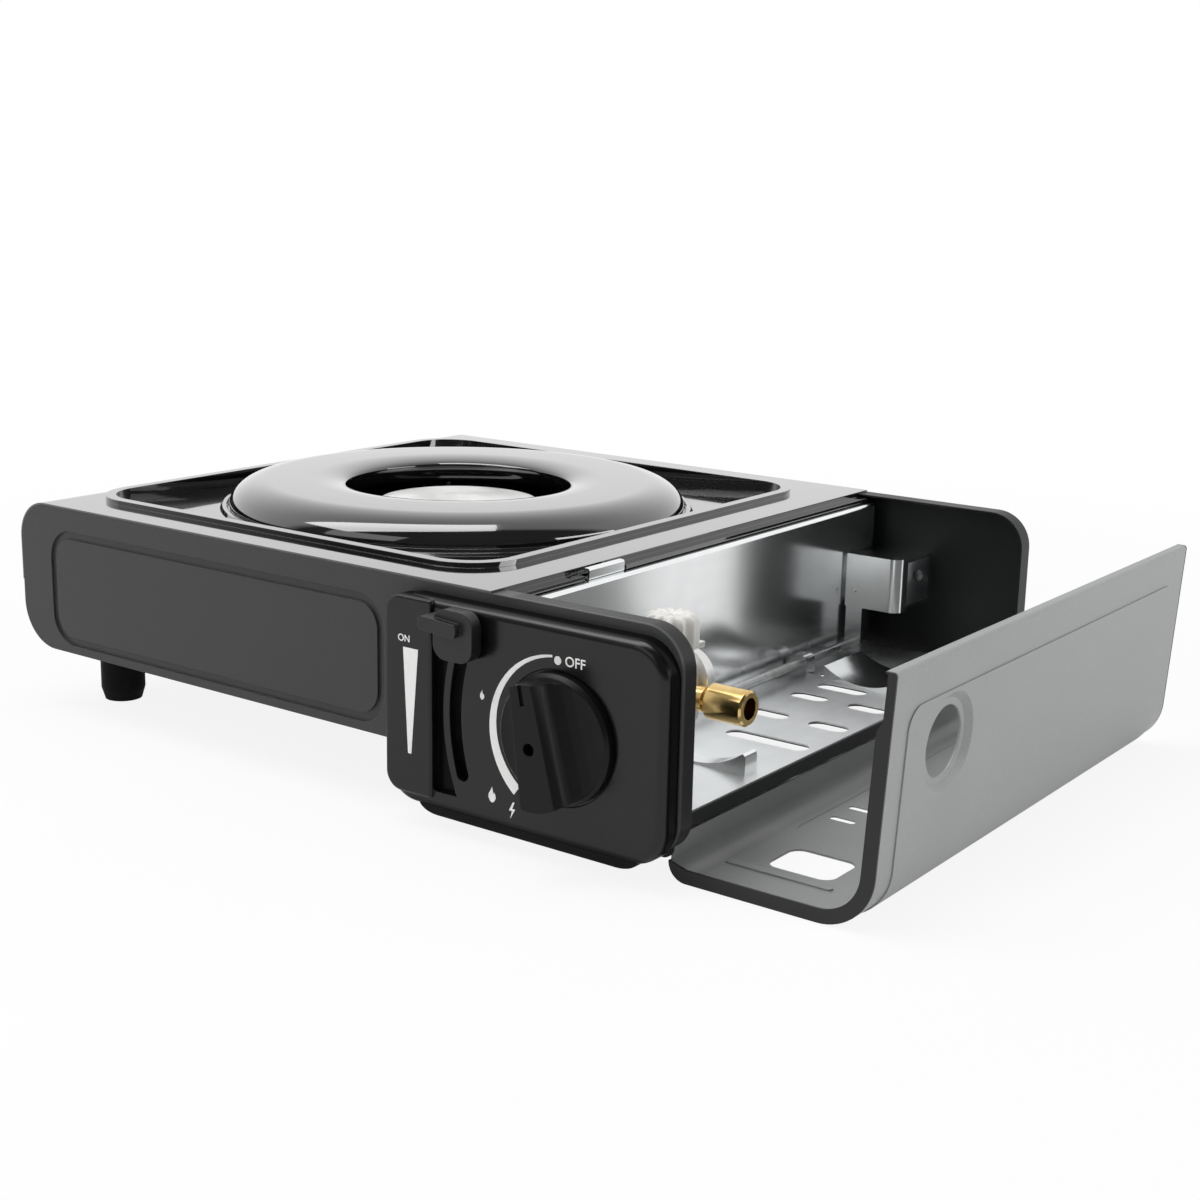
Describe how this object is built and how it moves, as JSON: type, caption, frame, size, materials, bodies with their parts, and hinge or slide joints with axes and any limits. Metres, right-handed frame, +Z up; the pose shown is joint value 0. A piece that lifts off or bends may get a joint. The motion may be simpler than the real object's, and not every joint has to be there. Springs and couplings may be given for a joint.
{
  "type": "portable butane cassette stove",
  "caption": "Portable single-burner gas stove: folded sheet-steel body, dished pan support stored upside down, cartridge bay with an L-shaped hinged lid shown open, turn knob and lock lever.",
  "frame": {"origin": "on the surface the stove stands on, under the middle of its outline with the lid open", "axes": "X to the right from the burner to the cartridge bay, Y from the control panel to the back, Z up"},
  "size_m": [0.4156, 0.2962, 0.0988],
  "materials": {
    "coat": "satin charcoal powder coat",
    "lid_coat": "satin dark grey powder coat",
    "enamel": "glossy black enamel",
    "galvanised": "galvanised sheet",
    "cast_alloy": "cast alloy",
    "tube_steel": "plain steel",
    "brass": "bare brass",
    "black_plastic": "matte black moulding",
    "pale_plastic": "off-white moulding",
    "rubber": "black rubber",
    "ceramic": "glazed ceramic"
  },
  "bodies": {
    "chassis": {"front_panel": "coat", "back_panel": "coat", "top_cover": "enamel", "bottom_tray": "coat", "bay_floor": "galvanised", "heat_shield": "galvanised", "lid_catch": "galvanised", "drip_tray": "enamel", "burner_head": "cast_alloy", "burner_cap": "cast_alloy", "burner_bracket": "galvanised", "mixing_tube": "tube_steel", "gas_jet": "brass", "gas_pipe": "brass", "igniter_electrode": "ceramic", "piezo_igniter": "black_plastic", "regulator_body": "cast_alloy", "diaphragm_cover": "pale_plastic", "gas_receptacle": "cast_alloy", "receptacle_seal": "rubber", "hose_inlet": "brass", "rod_guides": "galvanised", "pusher_bracket": "galvanised", "bracket_rivets": "tube_steel", "cartridge_cradle": "galvanised", "control_fascia": "black_plastic", "lever_pivot": "tube_steel", "feet": "rubber", "body_screws": "tube_steel", "hinge_rod": "tube_steel"},
    "knob": {"knob": "black_plastic", "knob_spindle": "tube_steel"},
    "lock_lever": {"lever_plate": "galvanised", "lever_tab": "black_plastic"},
    "cartridge_clamp": {"link_rod": "tube_steel", "cartridge_pusher": "galvanised"},
    "pan_support": {"pan_support": "enamel", "pan_prongs": "enamel"},
    "lid": {"lid": "lid_coat"}
  },
  "joints": [
    {"name": "lid_hinge", "type": "hinge", "parent": "chassis", "child": "lid", "pos_m": [0.12419, 0.0121, 0.0116], "axis": [0, -1, 0], "range_deg": [0, 90]},
    {"name": "knob_turn", "type": "hinge", "parent": "chassis", "child": "knob", "pos_m": [0.09149, -0.1239, 0.047], "axis": [0, -1, 0], "range_deg": [0, 150]},
    {"name": "lock_lever", "type": "hinge", "parent": "chassis", "child": "lock_lever", "pos_m": [0.11779, -0.1239, 0.047], "axis": [0, -1, 0], "range_deg": [0, 40]},
    {"name": "cartridge_clamp", "type": "slide", "parent": "chassis", "child": "cartridge_clamp", "axis": [0, -1, 0], "range_m": [0, 0.01]},
    {"name": "pan_support_lift", "type": "slide", "parent": "chassis", "child": "pan_support", "axis": [0, 0, 1], "range_m": [0, 0.06]}
  ],
  "couplings": [
    {"joint": "cartridge_clamp", "follows": "lock_lever", "m_per_rad": 0.01431}
  ]
}
